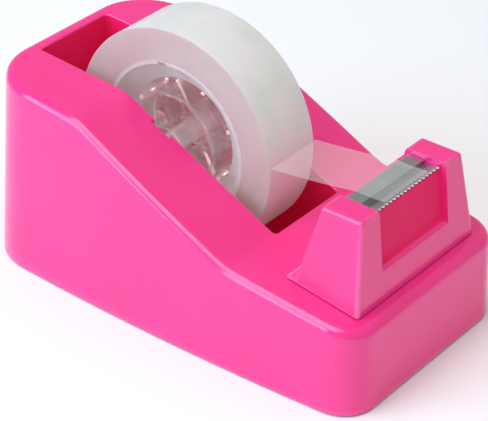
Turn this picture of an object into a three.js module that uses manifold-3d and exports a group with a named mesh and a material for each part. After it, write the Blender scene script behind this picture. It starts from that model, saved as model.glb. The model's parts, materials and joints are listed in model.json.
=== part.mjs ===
// Desk tape dispenser: a weighted plastic body with an open tape well, a toothed blade on a raised
// head at the front, and a tape roll on a clear hub whose axle pin drops into two slots.
// Millimetres. X runs to the front (blade end), Y across, Z up; the origin is the middle of the
// underside. The object is symmetric about the plane Y = 0.
import * as THREE from 'three';
import { mergeVertices } from 'three/addons/utils/BufferGeometryUtils.js';
import Module from 'manifold-3d';

const wasm = await Module();
wasm.setup();

// ---------------------------------------------------------------- driving dimensions
const gap = 0.3;                  // clearance between pieces that touch or nest

// tape
const tapeWidth = 19;
const rollRadius = 31.7;
const coreRadius = 22.4;          // outside of the core, under the windings
const coreBore = 16.3;            // narrowest part of the core
const coreLip = 0.8;              // thickness of the core's end lips
const coreWaist = 10.2;           // length of the narrow part of the bore
const filmThickness = 0.2;
const peelHeight = 4.3;           // the strip leaves the roll this far over the axle
const notchWidth = 2.4;           // small slot through the core's thick lip
const notchHeight = 1.2;
const notchBehind = 4;            // behind the axle
const notchCover = 0.4;           // core left over the notch

// hub and axle
const drumWall = 1.1;
const drumOverhang = 1.1;         // how far the drum stands out of the roll at each side
const ribHeight = 1.7;
const ribCount = 8;
const spokeCount = 6;
const spokeThickness = 1.2;
const spokeRecess = 2.6;          // spokes stop this far short of the drum's end
const bossWall = 1.9;
const bossOverhang = 1.9;         // how far the boss stands out of the drum
const axleRadius = 2.8;
const hubSplit = 0.15;            // half the seam between the two hub halves
const hubJoin = 0.5;              // how far each spoke runs into the boss
const pinEdge = 0.5;              // chamfer at the ends of the axle pin

// body
const bodyWidth = 68.6;           // at the ends of the sides
const sideBow = 1.5;              // how far each side bulges at its middle
const wall = 2.2;
const rearCornerRadius = 18;
const frontCornerRadius = 9.5;
const rimFillet = 2.5;
const leanRate = 0.0006;          // the walls lean in by this share for each millimetre of height
const deckHeight = 29.8;          // top face at the front end of the well
const deckSlope = -0.13;
const rearTopSlope = -0.0664;
const browDrop = 0.45;            // how far the brow between the two top slopes is planed off
const creaseRise = 10.4;          // top face over the axle's centre line, at the crease
const creaseBehind = 9.7;         // the crease stands this far behind the axle
const browBehind = 3.5;           // the rear top face starts this far behind the crease

// tape well
const wellSideRoom = 4.1;
const wellRearRoom = 10.9;
const wellFrontRoom = 5.5;
const wellFloorRoom = 1.8;
const wellFloorHeight = 8;
const rearLand = 6.3;             // top face behind the well
const slotDepth = 1.5;
const slotBacking = 2.2;

// underside
const padThickness = 1.2;
const bodyStandoff = 0.6;         // the body's lower edge over the floor
const plateThickness = 2;
const ballastHeight = 12;
const baseBossRadius = 4.4;
const baseBossMerge = 0.5;        // how far each screw boss runs into the wall
const baseBossHeight = 11;
const screwShankRadius = 1;
const screwHeadRadius = 2.6;
const screwHeadHeight = 1.1;
const screwLength = 9;
const screwJoin = 0.2;            // how far the shank runs into the head

// cutter head
const deckLength = 12.6;          // from the well to the toe of the head
const headToeLength = 3.2;
const headToeHeight = 3;
const headToeLip = 0.5;
const headDepth = 18.9;           // at the foot
const headTopDepth = 12.3;
const headRearLean = 3.5;
const headHeight = 20.4;          // top over the deck height at the well
const headLean = 4.1;             // how far each side leans in over its height
const earWidth = 7.6;
const frontLedge = 5.5;           // deck in front of the head
const headRounding = 0.9;
const headWall = 2;
const headScrewSpacing = 30;
const headScrewShift = 1;         // screws stand this far in front of the head's middle
const headBossRadius = 3.2;

// blade
const bladeOverlap = 4.95;        // blade past the tape at each side
const bladeThickness = 0.5;
const bladeSink = 1.4;            // blade's top face under the ears
const bladeFlat = 5.8;
const grooveWidth = 2.2;
const grooveDepth = 0.7;
const grooveWall = 0.35;          // share of the groove taken by its sloping rear side
const lipLength = 1.9;
const lipRise = 1.1;
const bladeSetback = 1;           // blade's rear edge in front of the rear edge of the head's top
const toothPitch = 1.6;
const toothDepth = 1;
const recessDepth = 1.8;          // hollow in the head's front face under the teeth
const recessHeight = 15.5;
const recessLedge = 1.8;
const recessBacking = 0.6;        // share of the recess depth added to the wall behind it

// ---------------------------------------------------------------- derived sizes
const windingBore = coreRadius + gap;
const drumRadius = coreBore - gap - ribHeight;
const drumHalf = tapeWidth / 2 + drumOverhang;
const bossHalf = drumHalf + bossOverhang;
const bossBore = axleRadius + gap;
const bossRadius = bossBore + bossWall;

const wellHalf = tapeWidth / 2 + wellSideRoom;
const axleHeight = wellFloorHeight + wellFloorRoom + rollRadius;
const bodyLength = rearLand + wellRearRoom + 2 * rollRadius + wellFrontRoom
  + deckLength + headToeLength + headDepth + frontLedge;
const rearX = -bodyLength / 2;
const frontX = bodyLength / 2;
const wellRear = rearX + rearLand;
const axleX = wellRear + wellRearRoom + rollRadius;
const wellFront = axleX + rollRadius + wellFrontRoom;
const slotHalf = axleRadius + gap;
const axleHalf = wellHalf + slotDepth - gap;

const plateBottom = padThickness + gap;
const plateTop = plateBottom + plateThickness;

const headRear = wellFront + deckLength + headToeLength;
const headFront = frontX - frontLedge;
const headTop = deckHeight + headHeight;
const headTopRear = headRear + headRearLean;
const headTopFront = headTopRear + headTopDepth;
const bladeHalf = tapeWidth / 2 + bladeOverlap;
const headTopHalf = bladeHalf + earWidth;
const bladeTop = headTop - bladeSink;
const bladeRear = headTopRear + bladeSetback;

// Top faces of the body as straight lines z = height + slope * x.
const deckPlane = { slope: deckSlope, height: deckHeight - deckSlope * wellFront };
const creaseX = axleX - creaseBehind;
const creaseZ = axleHeight + creaseRise;
const steepSlope = (deckHeight - creaseZ) / (wellFront - creaseX);
const steepPlane = { slope: steepSlope, height: creaseZ - steepSlope * creaseX };
const browX = creaseX - browBehind;
const browZ = steepPlane.height + steepSlope * browX;
const rearPlane = { slope: rearTopSlope, height: browZ - rearTopSlope * browX };
const browSlope = (steepSlope + rearTopSlope) / 2;
const browPlane = { slope: browSlope, height: browZ - browDrop - browSlope * browX };
const deckAt = (x) => deckPlane.height + deckPlane.slope * x;

// ---------------------------------------------------------------- helpers
const farAway = 200;              // past the object on every side
const sliverWidth = 0.01;
const overshoot = 1;              // how far a cutting shape runs past the face it cuts
const quarterSag = 1 - Math.SQRT1_2;  // how far a rounded corner's middle stands in from the corner

// How finely the round shapes are drawn.
const rollSegments = 96;
const drumSegments = 72;
const smallSegments = 36;
const postSides = 24;
const screwSides = 16;
const frontCornerSteps = 6;
const rearCornerSteps = 9;
const bowSteps = 6;
const rimSteps = 4;
const slotSteps = 10;
const curlSteps = 6;
const crownSteps = 4;

function solidOf(geometry) {
  const bare = geometry.clone();
  bare.deleteAttribute('normal');
  bare.deleteAttribute('uv');
  const merged = mergeVertices(bare, 1e-5);
  return new wasm.Manifold(new wasm.Mesh({
    numProp: 3,
    vertProperties: new Float32Array(merged.attributes.position.array),
    triVerts: new Uint32Array(merged.index.array),
  }));
}

function geometryOf(solid) {
  const data = solid.getMesh();
  const geometry = new THREE.BufferGeometry();
  geometry.setAttribute('position', new THREE.BufferAttribute(new Float32Array(data.vertProperties), 3));
  geometry.setIndex(new THREE.BufferAttribute(new Uint32Array(data.triVerts), 1));
  geometry.computeVertexNormals();
  return geometry;
}

// Blocks that share a wall leave hair-thin slivers where they are joined. This closes them up.
function withoutSlivers(solid) {
  const welded = mergeVertices(geometryOf(solid).deleteAttribute('normal'), sliverWidth);
  const corners = welded.index.array;
  const kept = [];
  for (let i = 0; i < corners.length; i += 3) {
    const [a, b, c] = [corners[i], corners[i + 1], corners[i + 2]];
    if (a !== b && b !== c && c !== a) {
      kept.push(a, b, c);
    }
  }
  welded.setIndex(kept);
  return solidOf(welded);
}

function box(x0, x1, y0, y1, z0, z1) {
  const geometry = new THREE.BoxGeometry(x1 - x0, y1 - y0, z1 - z0);
  geometry.translate((x0 + x1) / 2, (y0 + y1) / 2, (z0 + z1) / 2);
  return solidOf(geometry);
}

function postAlongZ(radius, x, y, z0, z1, sides = postSides) {
  const geometry = new THREE.CylinderGeometry(radius, radius, z1 - z0, sides);
  geometry.rotateX(Math.PI / 2);
  geometry.translate(x, y, (z0 + z1) / 2);
  return solidOf(geometry);
}

// A closed outline of [x, z] points carried across the object from -half to +half in Y.
function prismAlongY(points, half) {
  const shape = new THREE.Shape(points.map(([x, z]) => new THREE.Vector2(x, z)));
  const geometry = new THREE.ExtrudeGeometry(shape, { depth: 2 * half, steps: 1, bevelEnabled: false });
  geometry.rotateX(Math.PI / 2);
  geometry.translate(0, half, 0);
  return geometry;
}

// A closed outline of [radius, y] points turned about the roll's axis.
function turned(points, segments) {
  const closed = [...points, points[0]].map(([radius, y]) => new THREE.Vector2(radius, y));
  const geometry = new THREE.LatheGeometry(closed, segments);
  geometry.translate(axleX, 0, axleHeight);
  return solidOf(geometry);
}

function pushArc(points, centreX, centreY, radius, fromDegrees, toDegrees, steps) {
  for (let i = 0; i <= steps; i += 1) {
    const angle = THREE.MathUtils.degToRad(fromDegrees + (toDegrees - fromDegrees) * i / steps);
    points.push(new THREE.Vector2(centreX + radius * Math.cos(angle), centreY + radius * Math.sin(angle)));
  }
}

// Plan outline of the body, moved in by `inset`: big round corners behind, smaller ones in front,
// and sides that bow gently outward between them.
function planOutline(inset) {
  const halfWidth = bodyWidth / 2 - inset;
  const rear = rearX + inset;
  const front = frontX - inset;
  const rearRadius = rearCornerRadius - inset;
  const frontRadius = frontCornerRadius - inset;
  const points = [];
  pushArc(points, front - frontRadius, halfWidth - frontRadius, frontRadius, 0, 90, frontCornerSteps);
  pushBow(points, front - frontRadius, rear + rearRadius, halfWidth, 1);
  pushArc(points, rear + rearRadius, halfWidth - rearRadius, rearRadius, 90, 180, rearCornerSteps);
  pushArc(points, rear + rearRadius, rearRadius - halfWidth, rearRadius, 180, 270, rearCornerSteps);
  pushBow(points, rear + rearRadius, front - frontRadius, halfWidth, -1);
  pushArc(points, front - frontRadius, frontRadius - halfWidth, frontRadius, 270, 360, frontCornerSteps);
  return new THREE.Shape(points);
}

function pushBow(points, fromX, toX, halfWidth, side) {
  for (let i = 1; i < bowSteps; i += 1) {
    const along = i / bowSteps;
    const bulge = sideBow * 4 * along * (1 - along);
    points.push(new THREE.Vector2(fromX + (toX - fromX) * along, side * (halfWidth + bulge)));
  }
}

// The body's plan carried up to one sloping top face, with leaning walls and a rounded rim.
function slopedBlock(inset, plane, drop, rounding) {
  const depth = farAway;
  const geometry = new THREE.ExtrudeGeometry(planOutline(inset), {
    depth,
    steps: 1,
    bevelEnabled: rounding > 0,
    bevelThickness: rounding,
    bevelSize: rounding,
    bevelOffset: -rounding,
    bevelSegments: rimSteps,
  });
  geometry.translate(0, 0, -depth - rounding);
  const position = geometry.attributes.position;
  for (let i = 0; i < position.count; i += 1) {
    const x = position.getX(i);
    const z = position.getZ(i) + plane.height + plane.slope * x - drop;
    const scale = 1 - leanRate * z;
    position.setXYZ(i, x * scale, position.getY(i) * scale, z);
  }
  return solidOf(geometry);
}

// The level slice of the plan used for the pieces under the body.
function planSlab(inset, z0, z1) {
  const geometry = new THREE.ExtrudeGeometry(planOutline(inset), { depth: z1 - z0, bevelEnabled: false });
  geometry.translate(0, 0, z0);
  return solidOf(geometry);
}

const assembly = new THREE.Group();
assembly.name = 'tape_dispenser';

function addPiece(name, solid, colour, roughness, metalness = 0, opacity = 1) {
  const material = new THREE.MeshStandardMaterial({
    color: colour, roughness, metalness, opacity, transparent: opacity < 1,
  });
  const mesh = new THREE.Mesh(geometryOf(solid), material);
  mesh.name = name;
  assembly.add(mesh);
}

// ---------------------------------------------------------------- base screw places
// One screw in each corner of the plan, on the diagonal of the corner's own arc.
const screwPlaces = [];
for (const [endX, radius] of [[rearX, rearCornerRadius], [frontX, frontCornerRadius]]) {
  const outward = (radius - wall - baseBossRadius + baseBossMerge) * Math.SQRT1_2;
  for (const side of [-1, 1]) {
    screwPlaces.push([
      endX - Math.sign(endX) * (radius - outward),
      side * (bodyWidth / 2 - radius + outward),
    ]);
  }
}
const headScrewX = (headRear + headFront) / 2 + headScrewShift;
const headScrewPlaces = [-1, 1].map((side) => [headScrewX, side * headScrewSpacing / 2]);

// ---------------------------------------------------------------- body shell
function bodyEnvelope() {
  const raised = slopedBlock(0, rearPlane, 0, rimFillet)
    .intersect(slopedBlock(0, browPlane, 0, rimFillet))
    .intersect(slopedBlock(0, steepPlane, 0, rimFillet));
  const deck = slopedBlock(0, deckPlane, 0, rimFillet);
  const aboveFloor = box(-farAway, farAway, -farAway, farAway, bodyStandoff, farAway);
  return withoutSlivers(raised.add(deck)).intersect(aboveFloor);
}

function bodyHollow() {
  const raised = slopedBlock(wall, rearPlane, wall, 0).intersect(slopedBlock(wall, steepPlane, wall, 0));
  return withoutSlivers(raised.add(slopedBlock(wall, deckPlane, wall, 0)));
}

function axleSlots() {
  const points = [[axleX + slotHalf, farAway], [axleX - slotHalf, farAway]];
  for (let i = 0; i <= slotSteps; i += 1) {
    const angle = Math.PI + Math.PI * i / slotSteps;
    points.push([axleX + slotHalf * Math.cos(angle), axleHeight + slotHalf * Math.sin(angle)]);
  }
  return solidOf(prismAlongY(points, wellHalf + slotDepth));
}

function bodyShell() {
  const envelope = bodyEnvelope();
  const inner = wellHalf + wall;
  const slotOuter = wellHalf + slotDepth + slotBacking;
  let added = box(wellRear - wall, wellFront + wall, -inner, inner, wellFloorHeight - wall, farAway);
  const padWidth = slotHalf + slotBacking;
  added = added.add(box(
    axleX - padWidth, axleX + padWidth, -slotOuter, slotOuter, wellFloorHeight - wall, farAway));
  for (const [x, y] of screwPlaces) {
    added = added.add(postAlongZ(baseBossRadius, x, y, plateTop + gap, plateTop + baseBossHeight));
  }
  let shell = envelope.subtract(bodyHollow()).add(added.intersect(envelope));
  shell = shell.subtract(box(wellRear, wellFront, -wellHalf, wellHalf, wellFloorHeight, farAway));
  shell = shell.subtract(axleSlots());
  const pilotTop = plateBottom + screwHeadHeight + screwLength + 2 * gap;
  for (const [x, y] of screwPlaces) {
    shell = shell.subtract(postAlongZ(screwShankRadius + gap, x, y, 0, pilotTop, screwSides));
  }
  for (const [x, y] of headScrewPlaces) {
    shell = shell.subtract(postAlongZ(screwShankRadius + gap, x, y, wellFloorHeight, farAway, screwSides));
  }
  return withoutSlivers(shell);
}

// ---------------------------------------------------------------- cutter head
// Side outline of the head. The shell's outside stands on the deck and curls out at its rear toe;
// the hollow inside is the same outline moved in by `inset` and left open below.
function headSideOutline(inset) {
  const crown = headTop - inset;
  const rear = headTopRear + inset;
  const front = headTopFront - inset;
  const points = [
    [front, crown - headRounding],
    [front - headRounding * quarterSag, crown - headRounding * quarterSag],
    [front - headRounding, crown],
    [rear + headRounding, crown],
    [rear + headRounding * quarterSag, crown - headRounding * quarterSag],
    [rear, crown - headRounding],
  ];
  if (inset > 0) {
    points.push([headRear + inset, 0], [headFront - inset, 0]);
    return points;
  }
  const toeX = headRear - headToeLength;
  for (let i = 0; i <= curlSteps; i += 1) {
    const along = i / curlSteps;
    points.push([
      headRear - headToeLength * along * along,
      deckAt(toeX) + gap + headToeLip + headToeHeight * (1 - along) * (1 - along),
    ]);
  }
  points.push([toeX, deckAt(toeX) + gap], [headFront, deckAt(headFront) + gap]);
  return points;
}

// Front outline of the head: sides that lean in, with rounded upper corners.
function headFrontOutline(inset) {
  const footZ = deckAt(headFront);
  const topHalf = headTopHalf - inset;
  const lean = headLean / (headTop - footZ);
  const crown = headTop - inset;
  const right = [[topHalf + lean * crown, 0]];
  for (let i = 0; i <= crownSteps; i += 1) {
    const angle = Math.PI / 2 * i / crownSteps;
    right.push([
      topHalf - headRounding + headRounding * Math.cos(angle),
      crown - headRounding + headRounding * Math.sin(angle),
    ]);
  }
  const left = right.map(([y, z]) => [-y, z]).reverse();
  return [...right, ...left];
}

function headBlock(inset) {
  const side = solidOf(prismAlongY(headSideOutline(inset), bodyWidth));
  const shape = new THREE.Shape(headFrontOutline(inset).map(([y, z]) => new THREE.Vector2(y, z)));
  const front = new THREE.ExtrudeGeometry(shape, { depth: farAway, bevelEnabled: false });
  front.rotateX(Math.PI / 2);
  front.rotateZ(Math.PI / 2);
  return side.intersect(solidOf(front));
}

const frontFaceX = (z) => headFront + (headTopFront - headFront)
  * (z - deckAt(headFront)) / (headTop - deckAt(headFront));

// Upper edge of the blade's cross-section, from the rear edge over the groove to the tooth tips.
const bladeLine = [
  [bladeRear, bladeTop],
  [bladeRear + bladeFlat, bladeTop],
  [bladeRear + bladeFlat + grooveWidth * grooveWall, bladeTop - grooveDepth],
  [bladeRear + bladeFlat + grooveWidth, bladeTop - grooveDepth],
  [bladeRear + bladeFlat + grooveWidth + lipLength, bladeTop - grooveDepth + lipRise],
];

function stripOutline(line, below) {
  const under = line.map(([x, z]) => [x, z - below]).reverse();
  return [...line, ...under].reverse();
}

function cutterHead() {
  let head = headBlock(0);
  let bosses = null;
  for (const [x, y] of headScrewPlaces) {
    const boss = postAlongZ(headBossRadius, x, y, deckAt(x) + 2 * gap, headTop - 2 * headWall);
    bosses = bosses ? bosses.add(boss) : boss;
  }
  const seatThickness = bladeThickness + gap + headWall;
  const roof = box(-farAway, farAway, -farAway, farAway, bladeTop - grooveDepth - seatThickness, farAway);
  const hollow = headBlock(headWall + recessDepth * recessBacking).subtract(roof);
  head = head.subtract(hollow.subtract(bosses));
  const seat = bladeLine.map(([x, z]) => [x, z - bladeThickness - gap]);
  const seatCut = [
    [headRear - headToeLength, seat[0][1]],
    ...seat,
    [farAway, seat.at(-1)[1]],
    [farAway, farAway],
    [headRear - headToeLength, farAway],
  ];
  head = head.subtract(solidOf(prismAlongY(seatCut, bladeHalf + gap)));
  const recessTop = headTop + overshoot;
  const recessFoot = bladeTop - recessHeight;
  const recess = [
    [frontFaceX(recessFoot), recessFoot],
    [frontFaceX(recessFoot) + farAway, recessFoot],
    [frontFaceX(recessFoot) + farAway, recessTop],
    [frontFaceX(recessTop) - recessDepth, recessTop],
    [frontFaceX(recessFoot + recessLedge) - recessDepth, recessFoot + recessLedge],
  ];
  head = head.subtract(solidOf(prismAlongY(recess, bladeHalf + gap)));
  for (const [x, y] of headScrewPlaces) {
    head = head.subtract(postAlongZ(screwShankRadius + gap, x, y, 0, deckAt(x) + screwLength, screwSides));
  }
  return head;
}

// ---------------------------------------------------------------- blade
function serratedBlade() {
  const sheet = solidOf(prismAlongY(stripOutline(bladeLine, bladeThickness), bladeHalf));
  const tip = bladeLine.at(-1)[0];
  const behind = bladeRear - overshoot;
  const points = [[behind, -bladeHalf], [tip - toothDepth, -bladeHalf]];
  const teeth = Math.round(2 * bladeHalf / toothPitch);
  for (let i = 0; i < teeth; i += 1) {
    const start = -bladeHalf + 2 * bladeHalf * i / teeth;
    points.push([tip, start + bladeHalf / teeth]);
    points.push([tip - toothDepth, start + 2 * bladeHalf / teeth]);
  }
  points.push([behind, bladeHalf]);
  const plan = new THREE.Shape(points.map(([x, y]) => new THREE.Vector2(x, y)));
  const geometry = new THREE.ExtrudeGeometry(plan, { depth: 2 * farAway, bevelEnabled: false });
  geometry.translate(0, 0, -farAway);
  return sheet.intersect(solidOf(geometry));
}

// ---------------------------------------------------------------- underside pieces
function basePlate() {
  let plate = planSlab(wall + gap, plateBottom, plateTop);
  for (const [x, y] of screwPlaces) {
    plate = plate.subtract(postAlongZ(screwShankRadius + gap, x, y, 0, farAway, screwSides));
    plate = plate.subtract(postAlongZ(screwHeadRadius + gap, x, y, 0, plateBottom + screwHeadHeight + gap));
  }
  return plate;
}

function ballastBlock() {
  const bottom = plateTop + gap;
  let ballast = planSlab(wall + 3 * gap, bottom, bottom + ballastHeight);
  const aroundSlots = wellHalf + slotDepth + slotBacking + gap;
  ballast = ballast.subtract(
    box(-farAway, wellFront + wall + gap, -aroundSlots, aroundSlots, 0, farAway));
  for (const [x, y] of screwPlaces) {
    ballast = ballast.subtract(postAlongZ(baseBossRadius + gap, x, y, 0, farAway));
    const outward = Math.sign(y) * farAway;
    ballast = ballast.subtract(box(
      Math.min(x, x + Math.sign(x) * farAway), Math.max(x, x + Math.sign(x) * farAway),
      Math.min(y, outward), Math.max(y, outward), 0, farAway));
  }
  return ballast;
}

function panScrew(x, y, headBottom, length) {
  const headTopZ = headBottom + screwHeadHeight;
  return postAlongZ(screwHeadRadius, x, y, headBottom, headTopZ)
    .add(postAlongZ(screwShankRadius, x, y, headTopZ - screwJoin, headTopZ + length, screwSides));
}

// ---------------------------------------------------------------- hub, core, roll
function hubHalf() {
  const drum = turned([
    [drumRadius - drumWall, -drumHalf], [drumRadius, -drumHalf],
    [drumRadius, -hubSplit], [drumRadius - drumWall, -hubSplit],
  ], drumSegments);
  const boss = turned([
    [bossBore, -bossHalf], [bossRadius, -bossHalf], [bossRadius, -hubSplit], [bossBore, -hubSplit],
  ], smallSegments);
  let half = drum.add(boss);
  for (let i = 0; i < spokeCount; i += 1) {
    half = half.add(radialBlade(bossRadius - hubJoin, drumRadius - drumWall / 2, spokeThickness,
      -drumHalf + spokeRecess, i / spokeCount));
  }
  for (let i = 0; i < ribCount; i += 1) {
    half = half.add(radialBlade(drumRadius - drumWall / 2, drumRadius + ribHeight, spokeThickness,
      -coreWaist / 2, (i + 0.5) / ribCount));
  }
  return half;
}

// A flat blade standing out from the axis between two radii, at a share of a full turn.
function radialBlade(innerRadius, outerRadius, thickness, startY, turn) {
  const length = outerRadius - innerRadius;
  const geometry = new THREE.BoxGeometry(length, -hubSplit - startY, thickness);
  geometry.translate(innerRadius + length / 2, (startY - hubSplit) / 2, 0);
  geometry.rotateY(turn * 2 * Math.PI);
  geometry.translate(axleX, 0, axleHeight);
  return solidOf(geometry);
}

function turnedOver(solid) {
  const geometry = geometryOf(solid);
  geometry.translate(0, 0, -axleHeight);
  geometry.rotateX(Math.PI);
  geometry.translate(0, 0, axleHeight);
  return solidOf(geometry);
}

function tapeCore() {
  const half = tapeWidth / 2;
  const mouth = coreRadius - coreLip;
  const core = turned([
    [coreBore, -coreWaist / 2], [mouth, -half], [coreRadius, -half],
    [coreRadius, half], [mouth, half], [coreBore, coreWaist / 2],
  ], rollSegments);
  const notchX = axleX - notchBehind;
  const notchTop = axleHeight + mouth - notchCover;
  const notch = box(notchX - notchWidth / 2, notchX + notchWidth / 2, -half - overshoot, half + overshoot,
    notchTop - notchHeight, notchTop);
  return core.subtract(notch);
}

function tapeRoll() {
  const half = tapeWidth / 2;
  return turned([[windingBore, -half], [rollRadius, -half], [rollRadius, half], [windingBore, half]],
    rollSegments);
}

function axlePin() {
  const geometry = new THREE.LatheGeometry([
    new THREE.Vector2(0, -axleHalf), new THREE.Vector2(axleRadius - pinEdge, -axleHalf),
    new THREE.Vector2(axleRadius, -axleHalf + pinEdge), new THREE.Vector2(axleRadius, axleHalf - pinEdge),
    new THREE.Vector2(axleRadius - pinEdge, axleHalf), new THREE.Vector2(0, axleHalf),
  ], smallSegments);
  geometry.translate(axleX, 0, axleHeight);
  return solidOf(geometry);
}

function tapeStrip() {
  const onBlade = bladeTop + gap + filmThickness;
  const tip = bladeLine.at(-1);
  const line = [
    [axleX + rollRadius + gap, axleHeight + peelHeight],
    [bladeRear, onBlade],
    [bladeRear + bladeFlat, onBlade],
    [tip[0] - gap, tip[1] + gap + filmThickness],
  ];
  return solidOf(prismAlongY(stripOutline(line, filmThickness), tapeWidth / 2));
}

// ---------------------------------------------------------------- assembly
const pink = 0xfb4fa0;
const clear = 0xf0e4ea;
addPiece('body_shell', bodyShell(), pink, 0.22);
addPiece('cutter_head', cutterHead(), pink, 0.22);
addPiece('serrated_blade', serratedBlade(), 0xaaaca8, 0.35, 1);
addPiece('base_plate', basePlate(), 0x2b2b2d, 0.6);
addPiece('ballast_block', ballastBlock(), 0x6a6a6a, 0.8, 0.6);
addPiece('nonslip_pad', planSlab(wall + 2 * gap, 0, padThickness), 0x1c1c1e, 0.95);
screwPlaces.forEach(([x, y], i) => {
  addPiece(`base_screw_${i + 1}`, panScrew(x, y, plateBottom, screwLength), 0xb8b8b8, 0.4, 1);
});
headScrewPlaces.forEach(([x, y], i) => {
  const seatZ = deckAt(x) - wall - gap - screwHeadHeight - Math.abs(deckSlope) * screwHeadRadius;
  addPiece(`head_screw_${i + 1}`, panScrew(x, y, seatZ, screwLength), 0xb8b8b8, 0.4, 1);
});
const nearHalf = hubHalf();
addPiece('axle_pin', axlePin(), clear, 0.15, 0, 0.5);
addPiece('hub_near_half', nearHalf, clear, 0.12, 0, 0.4);
addPiece('hub_far_half', turnedOver(nearHalf), clear, 0.12, 0, 0.4);
addPiece('tape_core', tapeCore(), 0xece6e4, 0.45, 0, 0.8);
addPiece('tape_roll', tapeRoll(), 0xe6e8e2, 0.5, 0, 0.9);
addPiece('tape_strip', tapeStrip(), 0xe8e0e4, 0.2, 0, 0.4);

export default assembly;
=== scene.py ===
"""Looks for the tape dispenser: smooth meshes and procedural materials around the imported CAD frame.

Metres, in the frame's own axes: +X to the blade end, +Y across, +Z up.
"""

import json
import math

import bmesh
import bpy
from mathutils import Matrix, Vector


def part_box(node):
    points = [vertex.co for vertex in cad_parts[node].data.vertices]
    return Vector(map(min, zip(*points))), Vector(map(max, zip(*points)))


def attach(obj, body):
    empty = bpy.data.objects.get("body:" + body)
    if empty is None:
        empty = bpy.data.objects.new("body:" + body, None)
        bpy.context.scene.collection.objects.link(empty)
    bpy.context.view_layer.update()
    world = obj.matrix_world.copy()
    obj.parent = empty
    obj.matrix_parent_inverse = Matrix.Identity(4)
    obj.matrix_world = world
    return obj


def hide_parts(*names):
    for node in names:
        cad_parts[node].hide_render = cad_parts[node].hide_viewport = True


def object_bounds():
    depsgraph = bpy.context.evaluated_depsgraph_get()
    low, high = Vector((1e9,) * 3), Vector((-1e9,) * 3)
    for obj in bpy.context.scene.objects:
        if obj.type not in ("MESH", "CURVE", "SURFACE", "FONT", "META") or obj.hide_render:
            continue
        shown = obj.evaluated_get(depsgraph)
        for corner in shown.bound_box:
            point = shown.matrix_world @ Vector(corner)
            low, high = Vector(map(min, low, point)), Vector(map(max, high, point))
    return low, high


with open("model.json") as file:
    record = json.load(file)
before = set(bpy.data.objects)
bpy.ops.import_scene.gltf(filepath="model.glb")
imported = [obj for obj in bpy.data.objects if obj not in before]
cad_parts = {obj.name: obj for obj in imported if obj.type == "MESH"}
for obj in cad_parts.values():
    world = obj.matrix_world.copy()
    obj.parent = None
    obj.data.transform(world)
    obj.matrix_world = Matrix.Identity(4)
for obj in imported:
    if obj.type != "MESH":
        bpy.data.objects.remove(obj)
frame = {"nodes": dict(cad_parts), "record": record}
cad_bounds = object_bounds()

MM = 0.001


# ---------------------------------------------------------------- places, from the frame
class Span:
    """A CAD node's box with plain names for its sides."""

    def __init__(self, node):
        low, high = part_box(node)
        self.x0, self.y0, self.z0 = low
        self.x1, self.y1, self.z1 = high


BODY = Span("body_shell")
HEAD = Span("cutter_head")
BLADE = Span("serrated_blade")
ROLL = Span("tape_roll")
CORE = Span("tape_core")
PIN = Span("axle_pin")
HUB = Span("hub_near_half")
STRIP = Span("tape_strip")
HEAD_SCREWS = [Span("head_screw_1"), Span("head_screw_2")]

spin = next(j for j in frame["record"]["behaviour"]["joints"] if j["name"] == "spool_spin")
AXLE = Vector(spin["pos_m"])

GAP = 0.3 * MM
FILM = 0.2 * MM
EDGE_ROUND = 0.3 * MM
SAME_POINT = 0.0001 * MM            # points closer than this are joined
TAPE_HALF = ROLL.y1
ROLL_RADIUS = (ROLL.x1 - ROLL.x0) / 2
CORE_RADIUS = (CORE.x1 - CORE.x0) / 2
PIN_RADIUS = (PIN.x1 - PIN.x0) / 2

# Body
WALL = 2.2 * MM
SIDE_BOW = 1.5 * MM
REAR_CORNER = 18 * MM
FRONT_CORNER = 9.5 * MM
RIM_FILLET = 2.5 * MM
LEAN_RATE = 0.6                     # share lost per metre of height
HALF_WIDTH = BODY.y1 - SIDE_BOW
HALF_LENGTH = BODY.x1

# Tape well and the slots for the axle pin
WELL_LIP = 0.5 * MM
WELL_CORNER = 1.2 * MM
SPACE_BEHIND_ROLL = 10.9 * MM
SPACE_BEFORE_ROLL = 5.5 * MM
SPACE_UNDER_ROLL = 1.8 * MM
SLOT_DEPTH = 1.5 * MM
SLOT_BACKING = 2.2 * MM
WELL_HALF = PIN.y1 + GAP - SLOT_DEPTH
WELL_REAR = ROLL.x0 - SPACE_BEHIND_ROLL
WELL_FRONT = ROLL.x1 + SPACE_BEFORE_ROLL
WELL_FLOOR = ROLL.z0 - SPACE_UNDER_ROLL
SLOT_HALF = PIN_RADIUS + GAP

# Top of the body: three straight runs with rounded creases between them.
DECK_HEIGHT = 29.8 * MM
DECK_SLOPE = -0.13
REAR_SLOPE = -0.0664
BROW_BEHIND_AXLE = 13.2 * MM
BROW_ABOVE_AXLE = 12.05 * MM
BROW_X = AXLE.x - BROW_BEHIND_AXLE
BROW_Z = AXLE.z + BROW_ABOVE_AXLE
BROW_BLEND = 3.2 * MM
TOE_BLEND = 3.0 * MM
STEEP_SLOPE = (DECK_HEIGHT - BROW_Z) / (WELL_FRONT - BROW_X)

# Cutter head
HEAD_TOE = 3.2 * MM
TOE_HEIGHT = 3.0 * MM
TOE_LIP = 0.5 * MM
EAR_WIDTH = 7.6 * MM
HEAD_LEAN = 4.1 * MM
HEAD_CORNER = 0.85 * MM
HEAD_TOP_SETBACK = 3.5 * MM
HEAD_TOP_LENGTH = 12.3 * MM
HEAD_REAR = HEAD.x0 + HEAD_TOE
HEAD_TOP_REAR = HEAD_REAR + HEAD_TOP_SETBACK
HEAD_TOP_FRONT = HEAD_TOP_REAR + HEAD_TOP_LENGTH
HEAD_TOP_HALF = BLADE.y1 + EAR_WIDTH
RECESS_DEPTH = 1.8 * MM
RECESS_HEIGHT = 15.5 * MM
RECESS_LEDGE = 1.8 * MM

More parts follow.
